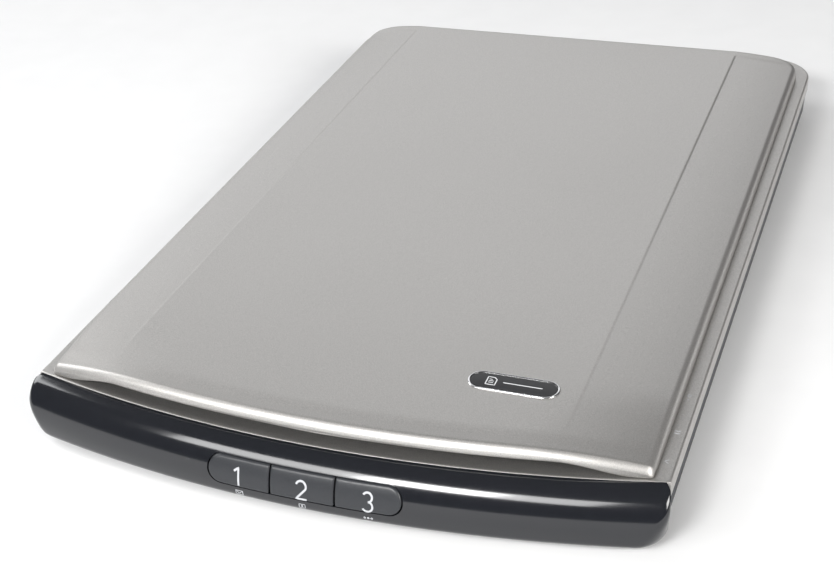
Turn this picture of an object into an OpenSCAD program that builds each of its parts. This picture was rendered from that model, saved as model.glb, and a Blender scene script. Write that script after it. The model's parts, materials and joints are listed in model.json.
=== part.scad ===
// Slim flatbed scanner: bow-fronted base, hinged lid, belt-driven contact image sensor.
// Right is +X, the hinge side is +Y, up is +Z, and z = 0 is the table under the feet.

/* [Body] */
// Width over the top cover
body_w = 280; // [276:1:284]
// Depth from the button faces to the back edge
body_d = 443; // [440:1:446]
// Height of the flange around the glass
body_h = 27.1; // [27:0.1:27.4]
// Height of the joint between lower case and top cover
split_z = 19.7; // [19.5:0.1:19.8]
// Clearance under the lower case
ground_gap = 2; // [1.8:0.1:2.2]
// How far the middle of the front bows forward of its corners
bow_sag = 16.8; // [15:0.1:18]
// Plan radius of the two back corners
back_corner_r = 26; // [24:1:28]
// Thickness of the moulded walls
wall = 2.2; // [2:0.1:2.4]

/* [Front bezel] */
// How far the bezel stands forward of the cover joint
bezel_fwd = 13.2; // [12.5:0.1:14]
// Height of the bezel's foremost line
bezel_mid_z = 12; // [11:0.5:13]
// Lowest point of the bezel
bezel_low_z = 2.6; // [2.4:0.1:3]
// Plan radius at the bezel's ends
bezel_end_r = 6; // [5:0.5:8]

/* [Buttons] */
// Middle of the button row across the body
row_x = -2.5; // [-5:0.5:5]
// Width of one button
key_w = 28.4; // [26:0.1:30]
// Height of the button row
key_h = 12.4; // [11:0.1:13]
// Height of the middle of the row
key_z = 16; // [15.5:0.1:16.2]
// How far the keys stand out of the bezel
key_proud = 0.4; // [0.3:0.1:0.6]

/* [Lid] */
// Width of the lid
lid_w = 266; // [262:1:268]
// Height of the closed lid
lid_top_z = 38; // [37.5:0.1:38.5]
// Lower edge of the lid's side walls
lid_low_z = 27.5; // [27.4:0.1:27.8]
// Rise of the arched grip in the front edge
grip_rise = 5.5; // [4.5:0.1:6]
// Bow of the lid's front edge
lid_sag = 15.7; // [15:0.1:16.5]
// Length of the oval badge
badge_l = 39; // [36:1:42]
// Height of the oval badge
badge_h = 12.5; // [11:0.5:13]

/* [Scan bed] */
// Width of the window over the glass
window_w = 218; // [216:1:220]
// Front edge of the window
window_y0 = -158; // [-160:1:-156]
// Back edge of the window
window_y1 = 142; // [140:1:144]
// Thickness of the glass
glass_t = 2.8; // [2.7:0.1:3]

/* [Carriage] */
// Rest place of the scan line, under the white strip
home_y = 155; // [154:0.5:156]
// Depth of the carriage tray
tray_d = 30; // [29:0.5:31]
// Diameter of the guide rod
rod_d = 5; // [4.8:0.1:5.2]

/* [Hinge] */
// Distance of each hinge post from the middle
post_x = 70; // [69:0.5:71]
// Height of the lid's axis when the posts are down
hinge_z = 30.6; // [30.5:0.1:30.8]

/* [Hidden] */
$fn = 48;

// Colours
c_silver = [0.66, 0.65, 0.63];
c_case = [0.20, 0.20, 0.22];
c_bezel = [0.16, 0.17, 0.19];
c_key = [0.25, 0.26, 0.28];
c_black = [0.06, 0.06, 0.07];
c_white = [0.93, 0.93, 0.91];
c_steel = [0.70, 0.71, 0.72];
c_board = [0.08, 0.32, 0.16];
c_brass = [0.72, 0.58, 0.30];
c_resin = [0.85, 0.84, 0.78];

// Plan of the body
half_w = body_w / 2;
back_y = body_d / 2;
joint_y = key_proud + bezel_fwd - back_y;
bow_r = (pow(half_w, 2) + pow(bow_sag, 2)) / (2 * bow_sag);
bow_cy = joint_y + bow_r;
corner_x = half_w - back_corner_r;
corner_y = back_y - back_corner_r;
function bow_at(x) = bow_cy - sqrt(pow(bow_r, 2) - pow(x, 2));

// Heights inside the body
floor_z = ground_gap + wall;
plate_z = body_h - 2;
tape_t = 0.15;
glass_z1 = plate_z - tape_t;
glass_z0 = glass_z1 - glass_t;

// Plan of the lid
lid_half = lid_w / 2;
lid_back = back_y - 14.2;
lid_front = joint_y + 1.6;
lid_bow_r = (pow(lid_half, 2) + pow(lid_sag, 2)) / (2 * lid_sag);
lid_bow_cy = lid_front + lid_bow_r;
lid_corner_r = 18;
lid_skin = 2;
arch_z = lid_low_z + grip_rise;
badge_x = 68.5;
badge_y = -160.5;
badge_seat_z = lid_top_z - 0.7;

// Glass plate
glass_w = 232;
glass_y0 = window_y0 - 6;
glass_y1 = 170;

// Drive train
belt_x = -123.5;
gear_y = 196.8;
idler_y = -182;
motor_x = -107.9;
motor_y = 199;
motor_r = 15;
motor_z = 15.4;
gear_module = 0.75;
pinion_teeth = 12;
gear_teeth = 30;
mesh_angle = atan2(motor_y - gear_y, motor_x - belt_x);
pulley_r = 4.9;
flange_r = 6.6;
belt_r = 5.2;
belt_t = 0.9;
belt_z0 = 17.3;
belt_z1 = 19.7;
rod_z = 9.2;
rod_y0 = -188.5;
rod_y1 = 184;
run_x = belt_x + belt_r + belt_t / 2;

// Carriage
tray_half = 114.7;
tray_z = 5.6;
cis_half = 109;
cis_d = 18;
cis_z0 = 9.3;
cis_z1 = 21.3;
bush_r = 3.6;
lock_x = 60;
lock_y = 153;
lock_throw = 6;

// Hinge
axis_y = lid_back - 1.8;
barrel_r = 2.6;
pin_r = 1.2;
post_w = 16;
post_d = 7;
post_y = axis_y;
leaf_gap = 0.4;
leaf_t = 2.5;

// Screws and boards
case_screw_at = [[60, -195], [-60, -195], [133.6, 0], [-133.6, 0], [84, 213], [-84, 213]];
boss_top = 10;
board_x0 = -50;
board_x1 = 58;
board_y0 = 178;
board_y1 = 214;
board_z = 7;
board_t = 1.6;
board_screw_at = [[-46, 182], [54, 182], [-46, 210], [54, 210]];
bracket_post_at = [[-93.4, 184.5], [-93.4, 213.5], [-111, 178.3]];
foot_at = [[118, -178], [-118, -178], [118, 198], [-118, 198]];
usb_x = 40;
usb_w = 12;
usb_h = 11;
usb_y1 = back_y - 0.9;
guide_y0 = joint_y - 6.7;
guide_y1 = guide_y0 + 1.5;
key_stop_y = guide_y1 - 0.7;
button_board_y = joint_y - 1.4;

// Plan outline, brought in by side on the sides and back and by front on the bow
bow_steps = 32;
corner_steps = 12;
function corner_arc(cx, cy, r, a0) = [
  for (i = [0:corner_steps]) [cx + r * cos(a0 + 90 * i / corner_steps),
                              cy + r * sin(a0 + 90 * i / corner_steps)]
];
function bow_line(w, r, cy) = [
  for (i = [0:bow_steps]) let (x = -w + 2 * w * i / bow_steps) [x, cy - sqrt(r * r - x * x)]
];
function body_outline(side, front) = concat(
  bow_line(half_w - side, bow_r - front, bow_cy),
  corner_arc(corner_x, corner_y, back_corner_r - side, 0),
  corner_arc(-corner_x, corner_y, back_corner_r - side, 90)
);
function lid_outline(side, front, back) = concat(
  bow_line(lid_half - side, lid_bow_r - front, lid_bow_cy),
  corner_arc(lid_half - lid_corner_r, lid_back - lid_corner_r + side - back, lid_corner_r - side, 0),
  corner_arc(lid_corner_r - lid_half, lid_back - lid_corner_r + side - back, lid_corner_r - side, 90)
);
module slab(points, z0, z1) {
  translate([0, 0, z0]) linear_extrude(z1 - z0) polygon(points);
}

// Small shared shapes
module box(x0, x1, y0, y1, z0, z1) {
  translate([x0, y0, z0]) cube([x1 - x0, y1 - y0, z1 - z0]);
}
module rod(x, y, z0, z1, r) {
  translate([x, y, z0]) cylinder(r = r, h = z1 - z0);
}
module rod_along_y(x, z, y0, y1, r) {
  translate([x, y0, z]) rotate([-90, 0, 0]) cylinder(r = r, h = y1 - y0);
}
module rod_along_x(x0, x1, y, z, r) {
  translate([x0, y, z]) rotate([0, 90, 0]) cylinder(r = r, h = x1 - x0);
}
module oval(x, y, len, wid, z0, z1) {
  reach = (len - wid) / 2;
  box(x - reach, x + reach, y - wid / 2, y + wid / 2, z0, z1);
  rod(x - reach, y, z0, z1, wid / 2);
  rod(x + reach, y, z0, z1, wid / 2);
}

// A coil spring along +Z: one tube swept around a helix
function coil_point(r, wire, rise, turns, sides, i, n, j) =
  let (a = 360 * turns * i / n, b = 360 * j / sides, out = r + wire * cos(b))
  [out * cos(a), out * sin(a), wire + (rise - 2 * wire) * i / n + wire * sin(b)];
module coil(r, wire, rise, turns) {
  sides = 6;
  n = round(turns * 12);
  points = [for (i = [0:n]) for (j = [0:sides - 1]) coil_point(r, wire, rise, turns, sides, i, n, j)];
  skin = [
    for (i = [0:n - 1]) for (j = [0:sides - 1])
      let (k = (j + 1) % sides, a = i * sides, b = (i + 1) * sides) [a + j, b + j, b + k, a + k]
  ];
  first = [for (j = [0:sides - 1]) j];
  last = [for (j = [sides - 1:-1:0]) n * sides + j];
  polyhedron(points, concat([first], skin, [last]), convexity = 8);
}

// A spur gear blank with straight-sided teeth; turn is the angle of its first tooth
root_share = 0.30;
tip_share = 0.13;
function tooth(n, a) =
  let (p = 360 / n, r0 = gear_module * (n / 2 - 1.2), r1 = gear_module * (n / 2 + 0.85))
  [
    [r0 * cos(a - root_share * p), r0 * sin(a - root_share * p)],
    [r1 * cos(a - tip_share * p), r1 * sin(a - tip_share * p)],
    [r1 * cos(a + tip_share * p), r1 * sin(a + tip_share * p)],
    [r0 * cos(a + root_share * p), r0 * sin(a + root_share * p)]
  ];
function gear_outline(n, turn) = [for (i = [0:n - 1]) each tooth(n, turn + 360 * i / n)];
module spur(x, y, z0, z1, n, turn) {
  translate([x, y, z0]) linear_extrude(z1 - z0) polygon(gear_outline(n, turn));
}

// Outer casing -------------------------------------------------------------

module lower_skin(inset, z0, z1) {
  hull() {
    slab(body_outline(0.8 + inset, 1.2 + inset), z1 - 0.1, z1);
    slab(body_outline(1.6 + inset, 1.8 + inset), z0 + 5, z0 + 5.1);
    slab(body_outline(5 + inset, 4.5 + inset), z0, z0 + 0.1);
  }
}
module screw_boss(at) {
  rod(at[0], at[1], floor_z - 0.5, boss_top, 3.6);
}
module hinge_socket(side, z0, z1) {
  difference() {
    box(side * post_x - 10, side * post_x + 10, post_y - 5.2, post_y + 5.2, z0, z1);
    box(side * post_x - post_w / 2 - 0.3, side * post_x + post_w / 2 + 0.3,
        post_y - post_d / 2 - 0.3, post_y + post_d / 2 + 0.3, z0 - 1, z1 + 1);
  }
}
module idler_stand() {
  box(-134, -129.5, -190, -173.5, floor_z - 0.2, 14);
  box(-118.5, -114.5, -190, -173.5, floor_z - 0.2, 14);
  box(-119, -117, -179, -177.5, 13, 16.2);
}
module lower_case() {
  color(c_case) difference() {
    union() {
      difference() {
        lower_skin(0, ground_gap, split_z);
        lower_skin(wall, floor_z, split_z + 0.05);
      }
      for (at = case_screw_at) screw_boss(at);
      for (at = board_screw_at) rod(at[0], at[1], floor_z - 0.5, board_z, 3);
      for (at = bracket_post_at) rod(at[0], at[1], floor_z - 0.5, motor_z, 2.5);
      for (side = [-1, 1]) hinge_socket(side, floor_z - 0.2, split_z);
      idler_stand();
      box(118, 122, -188, 176, floor_z - 0.2, 6.2);
    }
    for (at = case_screw_at) {
      rod(at[0], at[1], ground_gap - 1, 8, 3);
      rod(at[0], at[1], 7, boss_top + 1, 1.7);
    }
    for (at = board_screw_at) rod(at[0], at[1], floor_z + 0.4, board_z + 1, 1.1);
    for (at = bracket_post_at) rod(at[0], at[1], 9, motor_z + 1, 1.1);
    for (at = foot_at) rod(at[0], at[1], ground_gap - 1, 2.9, 7.1);
    box(usb_x - 6.5, usb_x + 6.5, usb_y1 - 6, back_y + 1, 8.2, split_z + 1);
    box(lock_x - 8, lock_x + 15, lock_y - 5, lock_y + 5, ground_gap - 1, 3.1);
    box(lock_x - 2.4, lock_x + lock_throw + 2.4, lock_y - 2.4, lock_y + 2.4, 3, floor_z + 1);
    box(29, 39, joint_y - 1, joint_y + 7, 8.4, 9.6);
    box(-61, 1, 39, 71, ground_gap - 1, 2.2);
  }
}

module top_shape() {
  hull() {
    slab(body_outline(0, 0.1), split_z, body_h - 1);
    slab(body_outline(0.3, 0.2), body_h - 0.4, body_h - 0.3);
    slab(body_outline(1, 0.5), body_h - 0.1, body_h);
  }
}
// The finger scoop is a shallow trough in the front land, running along the bow
scoop_depth = 1.1;
scoop_front = 1.2;
scoop_back = 22;
scoop_angle = 11.6;
scoop_along = 24;
scoop_across = 8;
function scoop_point(i, j, z) =
  let (a = scoop_angle * (2 * i / scoop_along - 1),
       q = bow_r - scoop_front - (scoop_back - scoop_front) * j / scoop_across)
  [q * sin(a), bow_cy - q * cos(a), z];
function scoop_z(i, j) =
  body_h + 0.04 - scoop_depth * sin(180 * j / scoop_across) * sqrt(sin(180 * i / scoop_along));
module scoop() {
  row = scoop_across + 1;
  lid_start = row * (scoop_along + 1);
  grid = [for (i = [0:scoop_along]) for (j = [0:scoop_across]) [i, j]];
  cells = [for (i = [0:scoop_along - 1]) for (j = [0:scoop_across - 1]) i * row + j];
  rim = concat([for (i = [0:scoop_along]) i * row],
               [for (j = [1:scoop_across]) scoop_along * row + j],
               [for (i = [scoop_along - 1:-1:0]) i * row + scoop_across],
               [for (j = [scoop_across - 1:-1:1]) j]);
  polyhedron(
    points = concat([for (g = grid) scoop_point(g[0], g[1], scoop_z(g[0], g[1]))],
                    [for (g = grid) scoop_point(g[0], g[1], body_h + 1)]),
    faces = concat(
      [for (c = cells) [c, c + row, c + row + 1]],
      [for (c = cells) [c, c + row + 1, c + 1]],
      [for (c = cells) [lid_start + c, lid_start + c + 1, lid_start + c + row + 1, lid_start + c + row]],
      [for (k = [0:len(rim) - 1]) let (p = rim[k], n = rim[(k + 1) % len(rim)])
        [p, lid_start + p, lid_start + n, n]]));
}
module top_cover() {
  color(c_silver) difference() {
    union() {
      difference() {
        top_shape();
        slab(body_outline(wall, wall), split_z - 1, plate_z);
      }
      for (at = case_screw_at) rod(at[0], at[1], boss_top, plate_z + 0.5, 2.6);
      for (side = [-1, 1]) hinge_socket(side, split_z, plate_z + 0.5);
    }
    box(-window_w / 2, window_w / 2, window_y0, window_y1, plate_z - 1, body_h + 1);
    for (side = [-1, 1])
      box(side * post_x - post_w / 2 - 0.3, side * post_x + post_w / 2 + 0.3,
          post_y - post_d / 2 - 0.3, post_y + post_d / 2 + 0.3, plate_z - 1, body_h + 1);
    for (at = case_screw_at) rod(at[0], at[1], boss_top - 1, 20, 1.5);
    scoop();
  }
}

// Bezel section: a superellipse above and below its foremost line
upper_pow = 2 / 2.4;
lower_pow = 2 / 6;
section_steps = 14;
function section(off) = concat(
  [for (i = [0:section_steps]) let (a = 90 - 90 * i / section_steps)
    [(bezel_fwd + off) * pow(cos(a), upper_pow),
     bezel_mid_z + (body_h - bezel_mid_z + off) * pow(sin(a), upper_pow)]],
  [for (i = [1:section_steps]) let (a = 90 * i / section_steps)
    [(bezel_fwd + off) * pow(cos(a), lower_pow),
     bezel_mid_z - (bezel_mid_z - bezel_low_z + off) * pow(sin(a), lower_pow)]]
);
module bow_ring(off, back) {
  points = [for (p = section(off)) [bow_r + max(p[0], 0), p[1]]];
  heel = [[bow_r - back, points[len(points) - 1][1]], [bow_r - back, points[0][1]]];
  translate([0, bow_cy, 0]) rotate([0, 0, -104.5])
    rotate_extrude(angle = 29, $fn = 180) polygon(concat(points, heel));
}
// Plan of the bezel with rounded ends, brought in by inset
function bezel_plan(inset) =
  let (x1 = half_w - inset, r1 = bow_r + bezel_fwd + 1 - inset, r = bezel_end_r,
       cx = x1 - r, cy = bow_cy - sqrt(pow(r1 - r, 2) - pow(cx, 2)),
       a1 = atan2(cx, bow_cy - cy),
       right = [for (i = [0:corner_steps]) let (a = -90 + a1 + (90 - a1) * i / corner_steps)
                 [cx + r * cos(a), cy + r * sin(a)]])
  concat([for (i = [1:bow_steps - 1]) let (a = a1 * (2 * i / bow_steps - 1))
           [r1 * sin(a), bow_cy - r1 * cos(a)]],
         right, [[x1, -180], [-x1, -180]],
         [for (i = [corner_steps:-1:0]) [-right[i][0], right[i][1]]]);
module key_row(grow, y0, y1) {
  reach = 1.5 * key_w - key_h / 2;
  box(row_x - reach, row_x + reach, y0, y1, key_z - key_h / 2 - grow, key_z + key_h / 2 + grow);
  for (side = [-1, 1]) rod_along_y(row_x + side * reach, key_z, y0, y1, key_h / 2 + grow);
}
module front_bezel() {
  color(c_bezel) difference() {
    union() {
      difference() {
        intersection() {
          bow_ring(0, 0);
          slab(bezel_plan(0), 0, body_h + 1);
        }
        intersection() {
          bow_ring(-wall, 3);
          slab(bezel_plan(wall), 0, body_h + 1);
        }
      }
      for (side = [-1, 1])
        rod_along_y(row_x + side * 52, key_z, guide_y0 - 2.8, guide_y0, 2.2);
    }
    key_row(0.35, -back_y - 1, joint_y - 5);
    for (side = [-1, 1])
      rod_along_y(row_x + side * 52, key_z, guide_y0 - 2.8, guide_y0 + 1, 0.9);
  }
}

// Buttons --------------------------------------------------------------------

module button(i) {
  x0 = row_x + (i - 1.5) * key_w;
  mid = x0 + key_w / 2;
  color(c_key) union() {
    intersection() {
      difference() {
        bow_ring(key_proud, 0);
        bow_ring(key_proud - 2.8, 1);
      }
      key_row(0, -back_y - 1, joint_y);
      box(x0 + 0.25, x0 + key_w - 0.25, -back_y - 1, joint_y, 0, body_h);
    }
    box(mid - 4, mid + 4, bow_at(mid) - bezel_fwd + 1.5, key_stop_y, key_z - 2.2, key_z + 2.2);
  }
}
module button_1() { button(0); }
module button_2() { button(1); }
module button_3() { button(2); }

module button_guide() {
  color(c_black) difference() {
    union() {
      box(row_x - 56, row_x + 56, guide_y0, guide_y1, key_z - 5, key_z + 3.3);
      for (side = [-1, 1])
        rod_along_y(row_x + side * 46, key_z, guide_y1 - 0.5, button_board_y, 2);
    }
    for (i = [-1:1])
      box(row_x + i * key_w - 4.4, row_x + i * key_w + 4.4, guide_y0 - 1, guide_y1 + 1,
          key_z - 2.5, key_z + 2.5);
    for (side = [-1, 1])
      rod_along_y(row_x + side * 52, key_z, guide_y0 - 1, guide_y1 + 1, 1.1);
  }
}
module button_board() {
  color(c_board) difference() {
    box(row_x - 49, row_x + 49, button_board_y, button_board_y + 1.4, 6.5, key_z + 5.5);
    box(29.5, 38.5, button_board_y - 1, button_board_y + 2, 8, 9);
  }
}
module tact_switches() {
  color(c_black) for (i = [-1:1]) {
    box(row_x + i * key_w - 3, row_x + i * key_w + 3, button_board_y - 2.9, button_board_y,
        key_z - 3, key_z + 3);
    rod_along_y(row_x + i * key_w, key_z, button_board_y - 3.4, button_board_y - 2.9, 1.7);
  }
}

// Scan bed ---------------------------------------------------------------------

module platen_glass() {
  color([0.75, 0.85, 0.85, 0.35])
    box(-glass_w / 2, glass_w / 2, glass_y0, glass_y1, glass_z0, glass_z1);
}
module glass_tape() {
  color(c_black) difference() {
    box(-glass_w / 2, glass_w / 2, glass_y0, glass_y1, glass_z1, plate_z);
    box(5 - glass_w / 2, glass_w / 2 - 5, glass_y0 + 5, glass_y1 - 5, glass_z1 - 1, plate_z + 1);
  }
}
module calibration_strip() {
  color(c_white) box(-window_w / 2, window_w / 2, home_y - 5, home_y + 5, glass_z1, glass_z1 + 0.1);
}
module feet() {
  color(c_black) for (at = foot_at) rod(at[0], at[1], 0, 2.9, 7);
}
module guide_rod() {
  color(c_steel) rod_along_y(belt_x, rod_z, rod_y0, rod_y1, rod_d / 2);
}
module rod_clips() {
  color(c_black) for (y = [rod_y0 + 4.5, rod_y1 - 4]) difference() {
    box(belt_x - 5, belt_x + 4.5, y - 2.5, y + 2.5, floor_z, 13.4);
    rod_along_y(belt_x, rod_z, y - 4, y + 4, rod_d / 2);
  }
}

// Electronics --------------------------------------------------------------------

module main_board() {
  color(c_board) difference() {
    box(board_x0, board_x1, board_y0, board_y1, board_z, board_z + board_t);
    for (at = board_screw_at) rod(at[0], at[1], board_z - 1, board_z + board_t + 1, 1.4);
  }
}
module board_chips() {
  top = board_z + board_t;
  color(c_black) {
    box(-20, -6, 190, 204, top, top + 1.4);
    box(0, 12, 196, 204, top, top + 1.1);
    box(22, 27, 184, 190, top, top + 1.5);
    for (i = [0:2]) rod(-34, 184 + 9 * i, top, top + 6, 2.5);
  }
}
module board_connectors() {
  top = board_z + board_t;
  color(c_resin) {
    box(1, 19, 178.5, 183, top, top + 3);
    box(29, 39, 178.5, 182.5, top, top + 3);
    box(-48, -42, 190, 198, top, top + 5);
  }
}
module usb_socket() {
  z0 = board_z + board_t;
  mouth_z = z0 + usb_h / 2;
  color(c_steel) union() {
    difference() {
      box(usb_x - usb_w / 2, usb_x + usb_w / 2, usb_y1 - 16, usb_y1, z0, z0 + usb_h);
      box(usb_x - 4.25, usb_x + 4.25, usb_y1 - 9, usb_y1 + 1, mouth_z - 3.9, mouth_z + 3.9);
    }
    box(usb_x - 2.8, usb_x + 2.8, usb_y1 - 9.5, usb_y1 - 2, mouth_z - 1.6, mouth_z + 1.6);
  }
}
module home_sensor() {
  color(c_black) difference() {
    box(96, 106, 172, 178, floor_z, 12);
    box(99.4, 102.6, 171, 176.6, 7, 13);
  }
}
module motor_cable() {
  color([0.6, 0.15, 0.12]) for (i = [0:3])
    rod_along_x(motor_x + motor_r + 2, -48, 192 + 1.3 * i, 11, 0.6);
}
module button_cable() {
  color(c_white) union() {
    box(30, 38, joint_y - 0.1, joint_y + 9.2, 8.8, 9.0);
    box(30, 38, joint_y + 9, joint_y + 9.2, 4.3, 9.0);
    box(30, 38, joint_y + 9, 176.4, 4.3, 4.5);
    box(30, 38, 176.2, 176.4, 4.3, 10.2);
    box(30, 38, 176.2, 178.5, 10.0, 10.2);
  }
}
// The sensor's flat cable: a fixed run along the floor, and a free run up to the carriage
fold_y = -12;
module ribbon_cable() {
  color(c_white) union() {
    box(2, 18, 174.4, 178.5, 10.0, 10.2);
    box(2, 18, 174.4, 174.6, 4.3, 10.2);
    box(2, 18, fold_y, 174.6, 4.3, 4.5);
  }
}
module ribbon_loop() {
  color(c_white) union() {
    box(2, 18, fold_y - 0.2, fold_y, 4.3, 5.1);
    box(2, 18, fold_y - 0.2, home_y, 4.9, 5.1);
    box(2, 18, home_y - 0.2, home_y, 4.9, cis_z0);
  }
}
module rating_plate() {
  color(c_steel) box(-60, 0, 40, 70, ground_gap + 0.05, 2.2);
}

// Drive train -----------------------------------------------------------------------

module drive_motor() {
  color(c_steel) difference() {
    union() {
      rod(motor_x, motor_y, floor_z + 0.1, motor_z, motor_r);
      rod(motor_x, motor_y, motor_z - 0.5, motor_z + 1.5, 3.5);
      box(motor_x + motor_r - 4, motor_x + motor_r + 2, 190.8, 197.1, 9.2, 12.8);
    }
    rod(motor_x, motor_y, 9, motor_z + 2, 1.06);
  }
}
module motor_bracket() {
  top = motor_z + 1;
  color(c_steel) difference() {
    union() {
      rod(motor_x, motor_y, motor_z, top, motor_r - 1);
      rod(belt_x, gear_y, motor_z, top, 5);
      for (at = bracket_post_at) {
        rod(at[0], at[1], motor_z, top, 3.4);
        reach = norm([at[0] - motor_x, at[1] - motor_y]);
        translate([motor_x, motor_y, motor_z])
          rotate([0, 0, atan2(at[1] - motor_y, at[0] - motor_x)])
            translate([0, -3.4, 0]) cube([reach, 6.8, 1]);
      }
    }
    rod(motor_x, motor_y, motor_z - 1, top + 1, 3.6);
    rod(belt_x, gear_y, motor_z - 1, top + 1, pin_r);
    for (at = bracket_post_at) rod(at[0], at[1], motor_z - 1, top + 1, 1.3);
  }
}
module gear_stud() {
  color(c_steel) union() {
    rod(belt_x, gear_y, motor_z, 23.4, pin_r);
    rod(belt_x, gear_y, 22.9, 23.4, 2.2);
  }
}
module motor_shaft() {
  color(c_steel) rod(motor_x, motor_y, 9.2, 23.2, 1);
}
module motor_pinion() {
  color(c_brass) difference() {
    spur(motor_x, motor_y, 20, 22.7, pinion_teeth, mesh_angle + 180);
    rod(motor_x, motor_y, 19, 24, 1);
  }
}
module reduction_gear() {
  color(c_resin) difference() {
    union() {
      spur(belt_x, gear_y, 20, 22.5, gear_teeth, mesh_angle + 180 / gear_teeth);
      rod(belt_x, gear_y, 16.7, 20.5, pulley_r);
      rod(belt_x, gear_y, 16.7, 17, flange_r);
    }
    rod(belt_x, gear_y, 16, 24, pin_r + 0.05);
  }
}
module idler_pulley() {
  color(c_resin) difference() {
    union() {
      rod(belt_x, idler_y, 16.7, 20.3, pulley_r);
      rod(belt_x, idler_y, 16.7, 17, flange_r);
      rod(belt_x, idler_y, 20, 20.3, flange_r);
    }
    rod(belt_x, idler_y, 16, 21, pin_r + 0.05);
  }
}
module idler_pin() {
  color(c_steel) union() {
    rod(belt_x, idler_y, 14, 21.1, pin_r);
    rod(belt_x, idler_y, 20.6, 21.1, 2.2);
  }
}
module idler_slider() {
  color(c_black) difference() {
    box(-131, -114.6, -189, -173.5, 14, 16.4);
    box(-120, -116, -187.6, -176.5, 13, 17);
    rod(belt_x, idler_y, 13, 17, pin_r);
  }
}
module tension_spring() {
  color(c_steel) translate([-118, -179, 15.2]) rotate([90, 0, 0]) coil(0.9, 0.22, 8.6, 7);
}
module belt_loop(r, z0, z1) {
  box(belt_x - r, belt_x + r, idler_y, gear_y, z0, z1);
  rod(belt_x, idler_y, z0, z1, r);
  rod(belt_x, gear_y, z0, z1, r);
}
module drive_belt() {
  color(c_black) difference() {
    belt_loop(belt_r + belt_t, belt_z0, belt_z1);
    belt_loop(belt_r, belt_z0 - 1, belt_z1 + 1);
  }
}

// Fasteners ---------------------------------------------------------------------------

module screw_up(at, seat, head_r, head_h, r, reach) {
  rod(at[0], at[1], seat - head_h, seat, head_r);
  rod(at[0], at[1], seat - 0.2, seat + reach, r);
}
module screw_down(at, seat, head_r, head_h, r, reach) {
  rod(at[0], at[1], seat, seat + head_h, head_r);
  rod(at[0], at[1], seat - reach, seat + 0.2, r);
}
module case_screws() {
  color(c_steel) for (at = case_screw_at) screw_up(at, 8, 2.8, 2, 1.45, 11);
}
module small_screws() {
  color(c_steel) {
    for (at = board_screw_at) screw_down(at, board_z + board_t, 2.2, 1.2, 1.05, 3.6);
    for (at = bracket_post_at) screw_down(at, motor_z + 1, 2.2, 0.9, 1.05, 6);
    for (side = [-1, 1]) {
      rod_along_y(row_x + side * 52, key_z, guide_y1, guide_y1 + 1.2, 1.9);
      rod_along_y(row_x + side * 52, key_z, guide_y0 - 2.6, guide_y1 + 0.1, 0.85);
    }
  }
}

// Carriage ---------------------------------------------------------------------------

tray_y0 = home_y - tray_d / 2;
tray_y1 = home_y + tray_d / 2;
module carriage() {
  color(c_black) difference() {
    union() {
      box(-tray_half, tray_half, tray_y0, tray_y1, tray_z, 15);
      box(belt_x - 4.6, -tray_half + 1, tray_y0 + 1, tray_y1 - 1, 4.7, 13.8);
      box(run_x - 4, -tray_half + 1, home_y - 5, home_y + 5, 13, 14.6);
      box(tray_half - 1, 126, home_y - 6, home_y + 6, 6.5, 9.5);
      box(100.5, 101.5, tray_y1 - 0.5, tray_y1 + 4.5, 8, 11);
    }
    box(1.7 - tray_half, tray_half - 1.7, tray_y0 + 1.7, tray_y1 - 1.7, tray_z + 1.5, 16);
    rod_along_y(belt_x, rod_z, tray_y0, tray_y1, 3);
    for (y = [tray_y0, tray_y1 - 7]) rod_along_y(belt_x, rod_z, y, y + 7, bush_r);
    box(1, 19, home_y - 3, home_y + 3, tray_z - 1, tray_z + 2);
    box(lock_x - 3, lock_x + lock_throw + 3.5, lock_y - 2.8, lock_y + 2.8, tray_z - 1, 8.4);
    box(lock_x - 3, lock_x + 3, lock_y, tray_y1 + 1, tray_z - 1, 8.4);
  }
}
module rod_bushes() {
  color(c_brass) for (y = [tray_y0 + 1, tray_y1 - 7]) difference() {
    rod_along_y(belt_x, rod_z, y, y + 6, bush_r);
    rod_along_y(belt_x, rod_z, y - 1, y + 7, rod_d / 2 + 0.05);
  }
}
module belt_clamp() {
  color(c_resin) difference() {
    box(run_x - 3, run_x + 2.8, home_y - 5, home_y + 5, 14.6, 20.2);
    box(run_x - belt_t / 2 - 0.3, run_x + belt_t / 2 + 0.3, home_y - 6, home_y + 6,
        belt_z0 - 0.3, 21);
  }
}
module cis_springs() {
  color(c_steel) for (x = [-80, 80])
    translate([x, home_y, tray_z + 1.5]) coil(2.4, 0.25, cis_z0 - tray_z - 1.5, 3);
}
module cis_housing() {
  color([0.14, 0.14, 0.15]) difference() {
    box(-cis_half, cis_half, home_y - cis_d / 2, home_y + cis_d / 2, cis_z0, cis_z1);
    box(1 - cis_half, cis_half - 1, home_y - 7, home_y + 7, cis_z0 - 1, cis_z0 + 1.4);
    box(-108, 108, home_y - 1.5, home_y + 1.5, cis_z0, cis_z1 + 1);
    box(-108, 108, home_y + 2.9, home_y + 7.1, 15.5, cis_z1 + 1);
  }
}
module rod_lens() {
  color([0.5, 0.52, 0.5]) box(-107.5, 107.5, home_y - 1.4, home_y + 1.4, 12.2, cis_z1 - 0.4);
}
module light_guide() {
  y0 = home_y + 3.1;
  color([0.9, 0.93, 0.95, 0.5]) translate([-107.5, 0, 0])
    rotate([90, 0, 90]) linear_extrude(215)
      polygon([[y0 + 0.4, 15.8], [y0 + 3.6, 15.8], [y0 + 3.8, 18.4], [y0 + 1.8, 20.9], [y0, 20.2]]);
}
module cis_board() {
  color(c_board) box(1.2 - cis_half, cis_half - 1.2, home_y - 6.8, home_y + 6.8,
                     cis_z0 + 0.1, cis_z0 + 1.3);
}
module glass_sliders() {
  color(c_white) for (side = [-1, 1])
    box(side * 110.7 - 1.7, side * 110.7 + 1.7, home_y - 7, home_y + 7, 15.2, glass_z0 - 0.3);
}
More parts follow.
